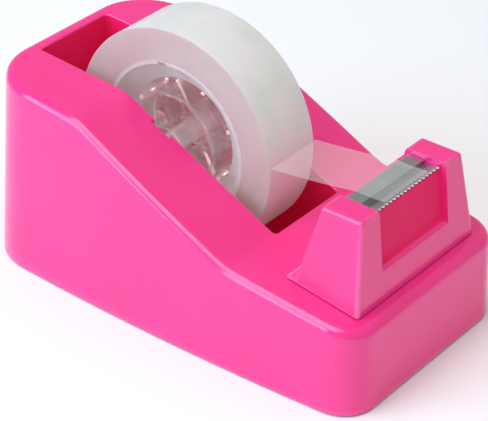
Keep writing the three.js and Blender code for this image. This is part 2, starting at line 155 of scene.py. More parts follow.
# Blade
BLADE_THICKNESS = 0.5 * MM
BLADE_FLAT = 4.6 * MM
GROOVE_WIDTH = 1.9 * MM
GROOVE_DEPTH = 0.7 * MM
GROOVE_SHOULDER = 0.4 * MM
GROOVE_SIDE = 0.45                  # share of the groove's width taken by its curved side
LIP_LENGTH = BLADE.x1 - BLADE.x0 - BLADE_FLAT - GROOVE_WIDTH
LIP_RISE = 1.1 * MM
TOOTH_PITCH = 1.6 * MM
TOOTH_DEPTH = 1.0 * MM
BLADE_TOP = BLADE.z1 - LIP_RISE + GROOVE_DEPTH

# Free end of the tape
FILM_START = 4.1 * MM               # height above the axle where the film leaves the roll
FILM_SAG = 0.25 * MM
FILM_TOOTH = 0.6 * MM

# Hub, core, roll and pin
DRUM_WALL = 1.1 * MM
RIB_HEIGHT = 1.7 * MM
SPOKE_THICKNESS = 1.2 * MM
SPOKE_RECESS = 2.6 * MM
BOSS_WALL = 1.9 * MM
BOSS_OVERHANG = 1.9 * MM
HUB_JOIN = 0.5 * MM
SPOKE_COUNT = 6
RIB_COUNT = 8
CORE_BORE = 16.3 * MM
CORE_LIP = 0.8 * MM
CORE_WAIST = 10.2 * MM
CORE_DISH = 0.5 * MM
NOTCH_BEHIND_AXLE = 4 * MM
NOTCH_HALF = 1.4 * MM
NOTCH_HEIGHT = 1.9 * MM
NOTCH_OVERCUT = 0.3 * MM
ROLL_CLEARANCE = 0.05 * MM          # between the core and the windings
ROLL_EDGE = 0.25 * MM
ROLL_RIPPLE = 0.03 * MM
PIN_EDGE = 0.5 * MM
PIN_CENTRE = 0.05 * MM              # radius of the small flat in the middle of each end
DRUM_RADIUS = CORE_BORE - GAP - RIB_HEIGHT
DRUM_HALF = -HUB.y0 - BOSS_OVERHANG
BOSS_BORE = PIN_RADIUS + GAP
BOSS_RADIUS = BOSS_BORE + BOSS_WALL

WEAR_AND_HIGHLIGHT_BAND = 0.5 * MM                # spacing of the extra edges that keep edge wear and painted edge highlights beside the real ones
ALONG = Vector((1, 0, 0))
ACROSS = Vector((0, 1, 0))
FAR = 200 * MM                      # past the object on every side

# Segment counts
ROLL_SEGMENTS = 192
DRUM_SEGMENTS = 120
BOSS_SEGMENTS = 72
PIN_SEGMENTS = 64
SCREW_SEGMENTS = 48
CORNER_STEPS = 4                    # on most rounded edges


def ramp(x, start, blend):
    """Integral of a step at `start` that is spread over `blend` to each side: 0 before, x - start after."""
    if x <= start - blend:
        return 0.0
    if x >= start + blend:
        return x - start
    return (x - start + blend) ** 2 / (4 * blend)


def roof(x):
    """Height of the body's top face."""
    height = BROW_Z + REAR_SLOPE * (x - BROW_X)
    height += (STEEP_SLOPE - REAR_SLOPE) * ramp(x, BROW_X, BROW_BLEND)
    height += (DECK_SLOPE - STEEP_SLOPE) * ramp(x, WELL_FRONT, TOE_BLEND)
    return height


# ---------------------------------------------------------------- mesh helpers
def new_piece(name, body, slot, material, verts, faces, sharp=35, replaced=()):
    """Makes a dressed piece from points and faces."""
    mesh = bpy.data.meshes.new(name)
    mesh.from_pydata([tuple(v) for v in verts], [], faces)
    return dress(mesh, name, body, material, sharp, replaced)


def dress(mesh, name, body, material, sharp=35, replaced=()):
    """Turns a mesh into a shaded piece that rides on a body and stands for the replaced CAD nodes."""
    tidy_normals(mesh)
    mesh.shade_smooth()
    mesh.set_sharp_from_angle(angle=math.radians(sharp))
    mesh.materials.clear()
    mesh.materials.append(material)
    piece = bpy.data.objects.new(name, mesh)
    bpy.context.scene.collection.objects.link(piece)
    even = piece.modifiers.new("even_shading", "WEIGHTED_NORMAL")
    even.keep_sharp = True
    even.weight = 100
    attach(piece, body)
    if replaced:
        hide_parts(*replaced)
    return piece


def tidy_normals(mesh):
    """Joins points that coincide and turns every face outward."""
    work = bmesh.new()
    work.from_mesh(mesh)
    bmesh.ops.remove_doubles(work, verts=work.verts, dist=SAME_POINT)
    bmesh.ops.recalc_face_normals(work, faces=work.faces)
    work.to_mesh(mesh)
    work.free()


def ring_faces(ring_count, ring_size):
    """Quads between successive closed rings of points."""
    faces = []
    for ring in range(ring_count - 1):
        for i in range(ring_size):
            j = (i + 1) % ring_size
            a = ring * ring_size
            b = a + ring_size
            faces.append((a + i, a + j, b + j, b + i))
    return faces


def arc(centre, radius, start, end, steps):
    """Points on an arc in a plane, from one angle to another in degrees."""
    points = []
    for i in range(steps + 1):
        angle = math.radians(start + (end - start) * i / steps)
        points.append((centre[0] + radius * math.cos(angle), centre[1] + radius * math.sin(angle)))
    return points


def about_axle(profile, segments):
    """The points of a [radius, y] profile at every one of some even turns about the axle."""
    points = []
    for s in range(segments):
        angle = 2 * math.pi * s / segments
        for radius, y in profile:
            points.append((AXLE.x + radius * math.cos(angle), y, AXLE.z + radius * math.sin(angle)))
    return points


def turned(profile, segments):
    """Turns a closed [radius, y] profile about the axle."""
    verts = about_axle(profile, segments)
    count = len(profile)
    faces = []
    for s in range(segments):
        a = s * count
        b = ((s + 1) % segments) * count
        for i in range(count):
            j = (i + 1) % count
            faces.append((a + i, a + j, b + j, b + i))
    return verts, faces


def mesh_of(verts, faces, name="work"):
    """A bare mesh from points and faces."""
    mesh = bpy.data.meshes.new(name)
    mesh.from_pydata([tuple(v) for v in verts], [], faces)
    tidy_normals(mesh)
    return mesh


def between(start, end):
    """The closed solid between two outlines whose points match one to one."""
    count = len(start)
    faces = [tuple(range(count)), tuple(range(2 * count - 1, count - 1, -1))]
    for i in range(count):
        j = (i + 1) % count
        faces.append((i, j, count + j, count + i))
    return mesh_of(start + end, faces)


def prism(outline, half):
    """A closed [x, z] outline carried from -half to +half across the object."""
    return between([(x, -half, z) for x, z in outline], [(x, half, z) for x, z in outline])


def upright(outline, z0, z1):
    """A closed [x, y] outline carried from z0 up to z1."""
    return between([(x, y, z0) for x, y in outline], [(x, y, z1) for x, y in outline])


def brick(x0, x1, half, z0, z1):
    """A block from -half to +half across the object."""
    return prism([(x0, z0), (x1, z0), (x1, z1), (x0, z1)], half)


def combine(base, tools, operation):
    """Booleans each tool mesh into the base mesh and returns the result."""
    scene = bpy.context.scene
    holder = bpy.data.objects.new("work", base)
    scene.collection.objects.link(holder)
    helpers = []
    for tool in tools:
        helper = bpy.data.objects.new("tool", tool)
        scene.collection.objects.link(helper)
        helpers.append(helper)
        modifier = holder.modifiers.new("cut", "BOOLEAN")
        modifier.operation = operation
        modifier.solver = "EXACT"
        modifier.object = helper
    graph = bpy.context.evaluated_depsgraph_get()
    result = bpy.data.meshes.new_from_object(holder.evaluated_get(graph))
    for helper in helpers:
        bpy.data.objects.remove(helper)
    bpy.data.objects.remove(holder)
    return result


def edge_bands(mesh, width):
    """Adds two narrow bands inside each wide flat face but the underside, to keep wear close to edges."""
    work = bmesh.new()
    work.from_mesh(mesh)
    for _ in range(2):
        shown = [face for face in work.faces if face.normal.z > -0.5]
        wide = [face for face in shown if face.calc_area() > 2 * width * face.calc_perimeter()]
        bmesh.ops.inset_individual(work, faces=wide, thickness=width, use_even_offset=True)
    work.to_mesh(mesh)
    work.free()
    return mesh


def sliced(mesh, axis, places):
    """Cuts every face at each place along an axis, which keeps edge wear and painted edge highlights close
    to the edges.
    """
    work = bmesh.new()
    work.from_mesh(mesh)
    for place in places:
        everything = work.verts[:] + work.edges[:] + work.faces[:]
        bmesh.ops.bisect_plane(work, geom=everything, plane_co=axis * place, plane_no=axis)
    work.to_mesh(mesh)
    work.free()
    return mesh


def even_places(low, high, step):
    """Evenly spread places between low and high, no further apart than a step."""
    count = math.ceil((high - low) / step)
    return [low + (high - low) * i / count for i in range(1, count)]


# ---------------------------------------------------------------- materials
class Nodes:
    """A small builder for node materials."""

    def __init__(self, name):
        self.material = bpy.data.materials.new(name)
        self.material.use_nodes = True
        self.tree = self.material.node_tree
        self.shader = self.tree.nodes["Principled BSDF"]
        coordinates = self.add("ShaderNodeTexCoord")
        self.place = coordinates.outputs["Object"]
        self.normal = coordinates.outputs["Normal"]

    def add(self, kind, **values):
        """Adds a node and sets its own options."""
        node = self.tree.nodes.new(kind)
        for key, value in values.items():
            setattr(node, key, value)
        return node

    def join(self, source, target):
        """Links an output to an input."""
        self.tree.links.new(source, target)

    def noise(self, scale, detail=3, rough=0.5, stretch=None):
        """Noise over the object, finer along an axis that has the larger stretch."""
        node = self.add("ShaderNodeTexNoise")
        node.inputs["Scale"].default_value = scale
        node.inputs["Detail"].default_value = detail
        node.inputs["Roughness"].default_value = rough
        source = self.place
        if stretch:
            mapping = self.add("ShaderNodeMapping")
            mapping.inputs["Scale"].default_value = stretch
            self.join(source, mapping.inputs["Vector"])
            source = mapping.outputs["Vector"]
        self.join(source, node.inputs["Vector"])
        return node.outputs["Fac"]

    def ramp(self, source, stops):
        """Turns a value into colours by way of [position, colour] stops."""
        node = self.add("ShaderNodeValToRGB")
        elements = node.color_ramp.elements
        while len(elements) < len(stops):
            elements.new(0.5)
        for element, (position, colour) in zip(elements, stops):
            element.position = position
            element.color = (*colour, 1)
        self.join(source, node.inputs["Fac"])
        return node.outputs["Color"]

    def spread(self, source, low, high, from_low=0.35, from_high=0.65):
        """Carries a value from one range over to another."""
        node = self.add("ShaderNodeMapRange")
        node.inputs["From Min"].default_value = from_low
        node.inputs["From Max"].default_value = from_high
        node.inputs["To Min"].default_value = low
        node.inputs["To Max"].default_value = high
        self.join(source, node.inputs["Value"])
        return node.outputs["Result"]

    def mix(self, factor, first, second):
        """Goes from the first colour to the second as the factor rises."""
        node = self.add("ShaderNodeMix", data_type="RGBA")
        self.join(factor, node.inputs["Factor"])
        for socket, value in ((node.inputs["A"], first), (node.inputs["B"], second)):
            if isinstance(value, tuple):
                socket.default_value = (*value, 1)
            else:
                self.join(value, socket)
        return node.outputs["Result"]

    def bump(self, source, strength, distance, under=None):
        """Surface relief, laid over an earlier one if given."""
        node = self.add("ShaderNodeBump")
        node.inputs["Strength"].default_value = strength
        node.inputs["Distance"].default_value = distance
        self.join(source, node.inputs["Height"])
        if under is not None:
            self.join(under, node.inputs["Normal"])
        return node.outputs["Normal"]

    def edges(self, low, high):
        """1 on convex edges, 0 elsewhere: edge wear on some materials, a painted edge highlight on others.
        """
        pointy = self.add("ShaderNodeNewGeometry").outputs["Pointiness"]
        return self.spread(pointy, 0, 1, low, high)

    def creases(self, low, high):
        """1 in inside corners, where shade is painted, 0 elsewhere."""
        pointy = self.add("ShaderNodeNewGeometry").outputs["Pointiness"]
        return self.spread(pointy, 1, 0, low, high)

    def put(self, **values):
        """Sets shader inputs: a number or colour directly, or a link from a node's output."""
        for key, value in values.items():
            socket = self.shader.inputs[key.replace("_", " ")]
            if isinstance(value, bpy.types.NodeSocket):
                self.join(value, socket)
            elif socket.type == "RGBA":
                socket.default_value = (*value, 1)
            else:
                socket.default_value = value
        return self.material


WORN_PINK = (0.95, 0.14, 0.42)
WORN_STEEL = (0.72, 0.72, 0.71)
CREASE_SHADE = (0.10, 0.10, 0.095)
LIT_CLEAR_EDGE = (1.0, 0.97, 0.98)
GLOW_IN_CLEAR = (1.0, 0.84, 0.88)
LIT_MILKY_EDGE = (0.96, 0.95, 0.95)
GLOW_IN_MILKY = (1.0, 0.80, 0.82)
LIT_FILM_EDGE = (0.97, 0.97, 0.97)


def pink_plastic(name, dark, light, gloss, roughness):
    """Glossy moulded plastic with faint flow marks, handling smears and paler edges from wear."""
    n = Nodes(name)
    flow = n.noise(28, 4, 0.55)
    base = n.ramp(flow, [(0.3, dark), (0.7, light)])
    colour = n.mix(n.edges(0.53, 0.62), base, WORN_PINK)
    smear = n.noise(60, 5, 0.6, (1, 1, 0.35))
    normal = n.bump(n.noise(420, 2), 0.04, 0.0002)
    normal = n.bump(n.noise(45, 2), 0.03, 0.0008, normal)
    return n.put(
        Base_Color=colour, Roughness=n.spread(smear, roughness, roughness + 0.12), Normal=normal, IOR=1.5,
        Specular_IOR_Level=gloss,
        Subsurface_Weight=0.15, Subsurface_Scale=0.003, Subsurface_Radius=(1.0, 0.1, 0.2),
    )


def metal(name, dark, light, low, high, stretch):
    """Steel with grinding lines along one direction, brighter edges from wear and painted shade in its
    inside corners.
    """
    n = Nodes(name)
    grain = n.noise(900, 3, 0.6, stretch)
    base = n.ramp(grain, [(0.3, dark), (0.7, light)])
    edge_wear_and_light = n.mix(n.edges(0.54, 0.64), base, WORN_STEEL)
    # Painted shade: inside corners, such as the blade's groove, are darkened.
    colour = n.mix(n.creases(0.42, 0.49), edge_wear_and_light, CREASE_SHADE)
    return n.put(
        Base_Color=colour, Metallic=1.0, Roughness=n.spread(n.noise(150, 4), low, high),
        Normal=n.bump(grain, 0.12, 0.00005), Anisotropic=0.4,
    )


def rough_solid(name, dark, light, low, high, scale, depth, metallic=0.0):
    """Hidden plastic, cast or foam pieces: mottled colour, uneven sheen and a fine grain."""
    n = Nodes(name)
    base = n.ramp(n.noise(scale, 5, 0.6), [(0.3, dark), (0.7, light)])
    edge_wear_and_light = tuple(min(1.0, 1.6 * channel) for channel in light)
    colour = n.mix(n.edges(0.54, 0.64), base, edge_wear_and_light)
    return n.put(
        Base_Color=colour, Metallic=metallic, Roughness=n.spread(n.noise(scale * 2, 3), low, high),
        Normal=n.bump(n.noise(scale * 12, 3), 0.3, depth),
    )


def clear_plastic():
    """Clear walls that show what is behind them, with bright edges where the light comes out, painted as a
    highlight and a glow.
    """
    n = Nodes("clear_plastic")
    tint = n.ramp(n.noise(90, 3), [(0.3, (0.965, 0.850, 0.890)), (0.7, (0.990, 0.930, 0.950))])
    # Painted light: convex edges are paler, more opaque and glow, and the rest glows faintly.
    edge_wear_and_light = n.edges(0.515, 0.57)
    colour = n.mix(edge_wear_and_light, tint, LIT_CLEAR_EDGE)
    return n.put(
        Base_Color=colour, Transmission_Weight=1.0, IOR=1.49, Alpha=n.spread(edge_wear_and_light, 0.42, 1.0, 0.0, 1.0),
        Roughness=n.spread(n.noise(200, 3), 0.02, 0.06), Normal=n.bump(n.noise(180, 2), 0.06, 0.0003),
        Emission_Color=GLOW_IN_CLEAR, Emission_Strength=n.spread(edge_wear_and_light, 0.01, 0.80, 0.0, 1.0),
    )


def frosted(name, dark, light, ends, transmission, glow, stretch=None):
    """Milky plastic that lets some light through. Faces that look along the axle take the `ends` colour."""
    n = Nodes(name)
    outer = n.ramp(n.noise(70, 5, 0.6), [(0.32, dark), (0.68, light)])
    axes = n.add("ShaderNodeSeparateXYZ")
    n.join(n.normal, axes.inputs["Vector"])
    facing = n.add("ShaderNodeMath", operation="ABSOLUTE")
    n.join(axes.outputs["Y"], facing.inputs[0])
    light_ends = tuple(min(1.0, 1.12 * channel) for channel in ends)
    rings = n.ramp(n.noise(120, 4, 0.6), [(0.3, ends), (0.7, light_ends)])
    base = n.mix(n.spread(facing.outputs["Value"], 0, 1, 0.3, 0.9), outer, rings)
    colour = n.mix(n.edges(0.53, 0.62), base, LIT_MILKY_EDGE)
    return n.put(
        Base_Color=colour, Transmission_Weight=transmission, IOR=1.45,
        Roughness=n.spread(n.noise(260, 4, 0.6, stretch), 0.34, 0.55),
        Normal=n.bump(n.noise(1400, 2, 0.5, stretch), 0.10, 0.0001),
        Subsurface_Weight=0.25, Subsurface_Scale=0.004, Subsurface_Radius=(1.0, 0.9, 0.9),
        Emission_Color=GLOW_IN_MILKY, Emission_Strength=glow,
    )


def tape_film():
    """One thin layer of tape, nearly invisible."""
    n = Nodes("tape_film")
    base = n.ramp(n.noise(60, 4), [(0.3, (0.80, 0.82, 0.80)), (0.7, (0.92, 0.93, 0.92))])
    colour = n.mix(n.edges(0.52, 0.60), base, LIT_FILM_EDGE)
    return n.put(
        Base_Color=colour, Alpha=0.13, IOR=1.47, Roughness=n.spread(n.noise(90, 3), 0.08, 0.2),
        Normal=n.bump(n.noise(70, 3, 0.5, (1, 3, 1)), 0.12, 0.0006),
    )


# ---------------------------------------------------------------- body shell
SAMPLE = 1.5 * MM
FRONT_CENTRE = HALF_LENGTH - FRONT_CORNER
REAR_CENTRE = REAR_CORNER - HALF_LENGTH


def lean(z):
    """Share of its plan size that the body keeps at a height."""
    return 1 - LEAN_RATE * (z - BODY.z0)


def before_lean(x):
    """Plan position whose leaned-in place on the top face is x."""
    plan = x
    rounds = 4
    for _ in range(rounds):
        plan = x / lean(roof(plan))
    return plan


def mouth_point(station, outset):
    """A point of the well's outline on the +Y side, moved outward by `outset`."""
    kind, value = station
    half = WELL_HALF + outset
    if kind == "side":
        return value, half
    angle = math.radians(value)
    end = WELL_FRONT + outset - WELL_CORNER if kind == "front" else WELL_REAR - outset + WELL_CORNER
    return end + WELL_CORNER * math.cos(angle), half - WELL_CORNER + WELL_CORNER * math.sin(angle)


def mouth_stations():
    """Places round the well's outline on the +Y side, from its front end to its rear end."""
    corner_steps = 5
    turn = [90 * i / corner_steps for i in range(corner_steps + 1)]
    start, end = WELL_FRONT - WELL_CORNER, WELL_REAR + WELL_CORNER
    steps = round((start - end) / SAMPLE)
    sides = [("side", start + (end - start) * i / steps) for i in range(1, steps)]
    return [("front", angle) for angle in turn] + sides + [("rear", 90 + angle) for angle in turn]


def plan_point(station, inset):
    """A point of the body's plan on the +Y side, before it leans in, moved inward by `inset`."""
    kind, value = station
    width = HALF_WIDTH - inset
    if kind == "side":
        along = (FRONT_CENTRE - value) / (FRONT_CENTRE - REAR_CENTRE)
        return value, width + SIDE_BOW * 4 * along * (1 - along)
    corner, centre = (FRONT_CORNER, FRONT_CENTRE) if kind == "front" else (REAR_CORNER, REAR_CENTRE)
    radius = corner - inset
    angle = math.radians(value)
    return centre + radius * math.cos(angle), width - radius + radius * math.sin(angle)


def plan_stations(mouth_xs):
    """Places round the plan from the front edge to the rear edge, one of them beside each mouth point."""
    corner_steps = 14
    stations = [("front", 90 * i / corner_steps) for i in range(corner_steps + 1)]
    first = before_lean(mouth_xs[0])
    steps = round((FRONT_CENTRE - first) / SAMPLE)
    stations += [("side", FRONT_CENTRE + (first - FRONT_CENTRE) * i / steps) for i in range(1, steps)]
    first_mouth = len(stations)
    reach = REAR_CORNER - RIM_FILLET
    for x in mouth_xs:
        plan = before_lean(x)
        if plan >= REAR_CENTRE:
            stations.append(("side", plan))
        else:
            stations.append(("rear", math.degrees(math.acos((plan - REAR_CENTRE) / reach))))
    last_angle = stations[-1][1]
    steps = 8
    stations += [("rear", last_angle + (180 - last_angle) * i / steps) for i in range(1, steps + 1)]
    return stations, first_mouth


def body_rings(stations, inset, drop, bottom, rim):
    """Wall and rim rings of a body-shaped solid, on the +Y side, each as leaned-in points."""
    wall_steps = 12
    rim_steps = 8 if rim else 0
    levels = [(0.0, i / wall_steps, 0.0) for i in range(wall_steps + 1)]
    for i in range(1, rim_steps + 1):
        angle = math.pi / 2 * i / rim_steps
        levels.append((rim * (1 - math.cos(angle)), 1.0, rim * math.sin(angle)))
    rings = []
    for extra, share, rise in levels:
        ring = []
        for station in stations:
            x, y = plan_point(station, inset + extra)
            z = bottom + share * (roof(x) - drop - rim - bottom) + rise
            ring.append((x * lean(z), y * lean(z), z))
        rings.append(ring)
    return rings


def whole_loop(half):
    """A run of points on the +Y side and its mirror image, as one loop."""
    return half + [(x, -y, z) for x, y, z in reversed(half)]


def inner_block():
    """The space inside the walls, as a closed solid that sticks out below."""
    stations, _ = plan_stations([mouth_point(m, 0)[0] for m in mouth_stations()])
    rings = [whole_loop(ring) for ring in body_rings(stations, WALL, WALL, -WALL, 0)]
    size = len(rings[0])
    faces = ring_faces(len(rings), size)
    faces.append(tuple(range(size)))
    last = (len(rings) - 1) * size
    for i in range(size // 2 - 1):
        faces.append((last + i, last + i + 1, last + size - 2 - i, last + size - 1 - i))
    return mesh_of([point for ring in rings for point in ring], faces)


def outer_block():
    """The body's outside with the well open in its top, down to the well's floor."""
    mouths = mouth_stations()
    stations, first_mouth = plan_stations([mouth_point(m, WELL_LIP)[0] for m in mouths])
    rings = [whole_loop(ring) for ring in body_rings(stations, 0, 0, BODY.z0, RIM_FILLET)]
    size = len(rings[0])
    faces = ring_faces(len(rings), size)
    faces.append(tuple(range(size)))
    verts = [point for ring in rings for point in ring]
    top = (len(rings) - 1) * size
    well = len(verts)

    lip_steps = 5
    lip_rings = []
    for i in range(lip_steps + 1):
        angle = math.pi / 2 * (1 - i / lip_steps)
        ring = []
        for mouth in mouths:
            x, y = mouth_point(mouth, WELL_LIP * (1 - math.cos(angle)))
            z = roof(before_lean(x)) - WELL_LIP * (1 - math.sin(angle))
            ring.append((x, y, z))
        lip_rings.append(whole_loop(ring))
    under_lip = lip_rings[-1]
    for band in (1, 2):
        lip_rings.append([(x, y, z - band * WEAR_AND_HIGHLIGHT_BAND) for x, y, z in under_lip])
    lip_rings.append([(x, y, WELL_FLOOR) for x, y, z in under_lip])
    count = len(lip_rings[0])
    verts += [point for ring in lip_rings for point in ring]
    faces += [tuple(well + v for v in face) for face in ring_faces(len(lip_rings), count)]
    faces.append(tuple(well + (len(lip_rings) - 1) * count + i for i in range(count)))

    # The top face in strips across: whole ones in front of and behind the well, halves beside it.
    last_mouth = first_mouth + len(mouths) - 1
    for i in range(size // 2 - 1):
        near, far = top + i, top + i + 1
        near_back, far_back = top + size - 1 - i, top + size - 2 - i
        if first_mouth <= i < last_mouth:
            m = well + i - first_mouth
            back = well + count - 1 - (i - first_mouth)
            faces.append((near, far, m + 1, m))
            faces.append((near_back, back, back - 1, far_back))
        elif i == first_mouth - 1:
            faces.append((near, far, well, well + count - 1, far_back, near_back))
        elif i == last_mouth:
            m = well + len(mouths) - 1
            faces.append((near, m, m + 1, near_back, far_back, far))
        else:
            faces.append((near, far, far_back, near_back))
    return mesh_of(verts, faces)


def slot_cutter():
    """Both open slots for the axle pin, as one solid that runs across the well."""
    outline = [(AXLE.x - SLOT_HALF, FAR)] + arc((AXLE.x, AXLE.z), SLOT_HALF, 180, 360, steps=20)
    return prism(outline + [(AXLE.x + SLOT_HALF, FAR)], WELL_HALF + SLOT_DEPTH)


def screw_holes():
    """Clearance round the two screws that hold the head, hidden under it."""
    holes = []
    for screw in HEAD_SCREWS:
        centre = (screw.x0 + screw.x1) / 2, (screw.y0 + screw.y1) / 2
        circle = arc(centre, (screw.x1 - screw.x0) / 2 + GAP, 0, 360, SCREW_SEGMENTS)[:-1]
        holes.append(upright(circle, screw.z0 - GAP, screw.z1 + GAP))
    return holes


def body_shell():
    """Walls, top, tape well and slots, hollow from below."""
    pocket = brick(WELL_REAR - WALL, WELL_FRONT + WALL, WELL_HALF + WALL, WELL_FLOOR - WALL, FAR)
    backing = SLOT_HALF + SLOT_BACKING
    slot_backs = brick(AXLE.x - backing, AXLE.x + backing, WELL_HALF + SLOT_DEPTH + SLOT_BACKING,
                       WELL_FLOOR - WALL, FAR)
    hollow = combine(inner_block(), [pocket, slot_backs], "DIFFERENCE")
    shell = combine(outer_block(), [hollow, slot_cutter()] + screw_holes(), "DIFFERENCE")
    ends = (WELL_HALF + SLOT_DEPTH, max(screw.y1 for screw in HEAD_SCREWS) + GAP)
    beside_cuts = [end + band * WEAR_AND_HIGHLIGHT_BAND for end in ends for band in (1, 2)]
    return sliced(shell, ACROSS, beside_cuts + [-y for y in beside_cuts])


def in_well(place):
    """True on the well's walls and floor, below its rounded lip."""
    reach = 0.1 * MM
    beside = abs(place.y) < WELL_HALF + SLOT_DEPTH + reach
    within = WELL_REAR - reach < place.x < WELL_FRONT + reach
    return beside and within and WELL_FLOOR - reach < place.z < roof(place.x) - WELL_LIP


# ---------------------------------------------------------------- cutter head
def deck(x):
    """Height of the lower front part of the body's top."""
    return DECK_HEIGHT + DECK_SLOPE * (x - WELL_FRONT)


def head_side():
    """The head's outline from the side, with its thin toe curling down to the deck."""
    crown = HEAD.z1
    points = [(HEAD_TOP_FRONT, crown), (HEAD_TOP_REAR, crown)]
    curl_steps = 8
    toe = HEAD.x0
    for i in range(curl_steps + 1):
        along = i / curl_steps
        rise = TOE_LIP + TOE_HEIGHT * (1 - along) ** 2
        points.append((HEAD_REAR - HEAD_TOE * along ** 2, deck(toe) + GAP + rise))
    return points + [(toe, deck(toe) + GAP), (HEAD.x1, deck(HEAD.x1) + GAP)]


def head_front():
    """Outline across the object, carried along X."""
    slant = HEAD_LEAN / (HEAD.z1 - deck(HEAD.x1))
    low = HEAD.z0 - MM
    foot = HEAD_TOP_HALF + slant * (HEAD.z1 - low)
    right = [(foot, low), (HEAD_TOP_HALF, HEAD.z1)]
    outline = right + [(-y, z) for y, z in reversed(right)]
    x0, x1 = HEAD.x0 - MM, HEAD.x1 + MM
    return between([(x0, y, z) for y, z in outline], [(x1, y, z) for y, z in outline])


def round_corners(mesh, width):
    """Rounds the upright corners between the head's faces and the four edges of its top."""
    work = bmesh.new()
    work.from_mesh(mesh)
    chosen = []
    for edge in work.edges:
        run = edge.verts[1].co - edge.verts[0].co
        stands = abs(run.z) > 0.5 * run.length and run.length > 2 * TOE_HEIGHT
        on_top = min(vert.co.z for vert in edge.verts) > HEAD.z1 - 0.1 * MM
        if (stands or on_top) and len(edge.link_faces) == 2 and edge.calc_face_angle() > math.radians(40):
            chosen.append(edge)
    bmesh.ops.bevel(work, geom=chosen, offset=width, segments=CORNER_STEPS, profile=0.5, affect="EDGES")
    work.to_mesh(mesh)
    work.free()
    return mesh


def blade_line():
    """Upper face of the blade's cross-section, from its rear edge over the groove to the lip."""
    x = BLADE.x0 + BLADE_FLAT
    line = [(BLADE.x0, BLADE_TOP), (x - GROOVE_SHOULDER, BLADE_TOP)]
    steps = 6
    for i in range(steps + 1):
        along = i / steps
        dip = (1 - math.cos(math.pi * along)) / 2
        line.append((x + GROOVE_SIDE * GROOVE_WIDTH * along, BLADE_TOP - GROOVE_DEPTH * dip))
    line.append((x + GROOVE_WIDTH, BLADE_TOP - GROOVE_DEPTH))
    line.append((x + GROOVE_WIDTH + LIP_LENGTH, BLADE.z1))
    return line


def cutter_head():
    """The head with the blade's seat and its recessed front, and a test for faces in that recess."""
    solid = combine(prism(head_side(), BODY.y1), [head_front()], "INTERSECT")
    solid = round_corners(solid, HEAD_CORNER)
    seat = [(x, z - BLADE_THICKNESS - GAP) for x, z in blade_line()]
    seat = [(HEAD.x0 - MM, seat[0][1])] + seat
    seat += [(FAR, seat[-1][1]), (FAR, FAR), (HEAD.x0 - MM, FAR)]
    slant = (HEAD_TOP_FRONT - HEAD.x1) / (HEAD.z1 - deck(HEAD.x1))
    foot = BLADE_TOP - RECESS_HEIGHT

    def front_at(z):
        """Place of the leaning front face at a height."""
        return HEAD.x1 + slant * (z - deck(HEAD.x1))

    over = HEAD.z1 + MM
    recess = [(FAR, foot), (FAR, over), (front_at(over) - RECESS_DEPTH, over)]
    ledge_steps = 8
    for i in range(ledge_steps, -1, -1):
        along = i / ledge_steps
        z = foot + RECESS_LEDGE * along
        recess.append((front_at(z) - RECESS_DEPTH * along * along * (3 - 2 * along), z))
    half = BLADE.y1 + GAP
    mesh = combine(solid, [prism(seat, half), prism(recess, half)] + screw_holes(), "DIFFERENCE")
    edge_bands(sliced(mesh, ALONG, [HEAD_REAR]), WEAR_AND_HIGHLIGHT_BAND)

    def in_recess(place):
        """True behind the front face, between the ears and above the recess's foot."""
        return abs(place.y) < half and foot < place.z and place.x < front_at(place.z) - MM

    return mesh, in_recess


# ---------------------------------------------------------------- blade and film
def sheet_solid(rows, thickness):
    """Closed sheet from rows of upper-face points, with its lower face straight below."""
    columns = len(rows[0])
    upper = [point for row in rows for point in row]
    verts = upper + [(x, y, z - thickness) for x, y, z in upper]
    below = len(upper)
    faces = []
    for r in range(len(rows) - 1):
        for c in range(columns - 1):
            a = r * columns + c
            quad = (a, a + 1, a + columns + 1, a + columns)
            faces.append(quad)
            faces.append(tuple(below + v for v in reversed(quad)))
    rim = list(range(columns))
    rim += [r * columns + columns - 1 for r in range(1, len(rows))]
    rim += [(len(rows) - 1) * columns + c for c in range(columns - 2, -1, -1)]
    rim += [r * columns for r in range(len(rows) - 2, 0, -1)]
    for i, a in enumerate(rim):
        b = rim[(i + 1) % len(rim)]
        faces.append((a, b, below + b, below + a))
    return verts, faces


def toothed_rows(line, half, pitch, depth):
    """Rows across the object whose last point steps back between teeth, down the last slope."""
    teeth = round(2 * half / pitch)
    (x1, z1), (x2, z2) = line[-2:]
    rows = []
    for i in range(2 * teeth + 1):
        y = -half + half * i / teeth
        back = 0 if i % 2 else depth
        end = (x2 - back, y, z2 - back * (z2 - z1) / (x2 - x1))
        rows.append([(x, y, z) for x, z in line[:-1]] + [end])
    return rows


def film_line():
    """The strip's path: off the roll with a slight sag, then flat on the blade and down to the teeth."""
    steps = 14
    start = (STRIP.x0, AXLE.z + FILM_START)
    rest = (BLADE.x0, BLADE_TOP + GAP + FILM)
    line = []
    for i in range(steps + 1):
        along = i / steps
        drop = FILM_SAG * 4 * along * (1 - along)
        line.append((
            start[0] + (rest[0] - start[0]) * along,
            start[1] + (rest[1] - start[1]) * along - drop,
        ))
    line.append((BLADE.x0 + BLADE_FLAT, rest[1]))
    line.append((STRIP.x1, STRIP.z1))
    return line


# ---------------------------------------------------------------- roll, core, hub, pin
def mirrored(half):
    """The other half of a [radius, y] profile, from where this half ends."""
    return [(radius, -y) for radius, y in reversed(half)]


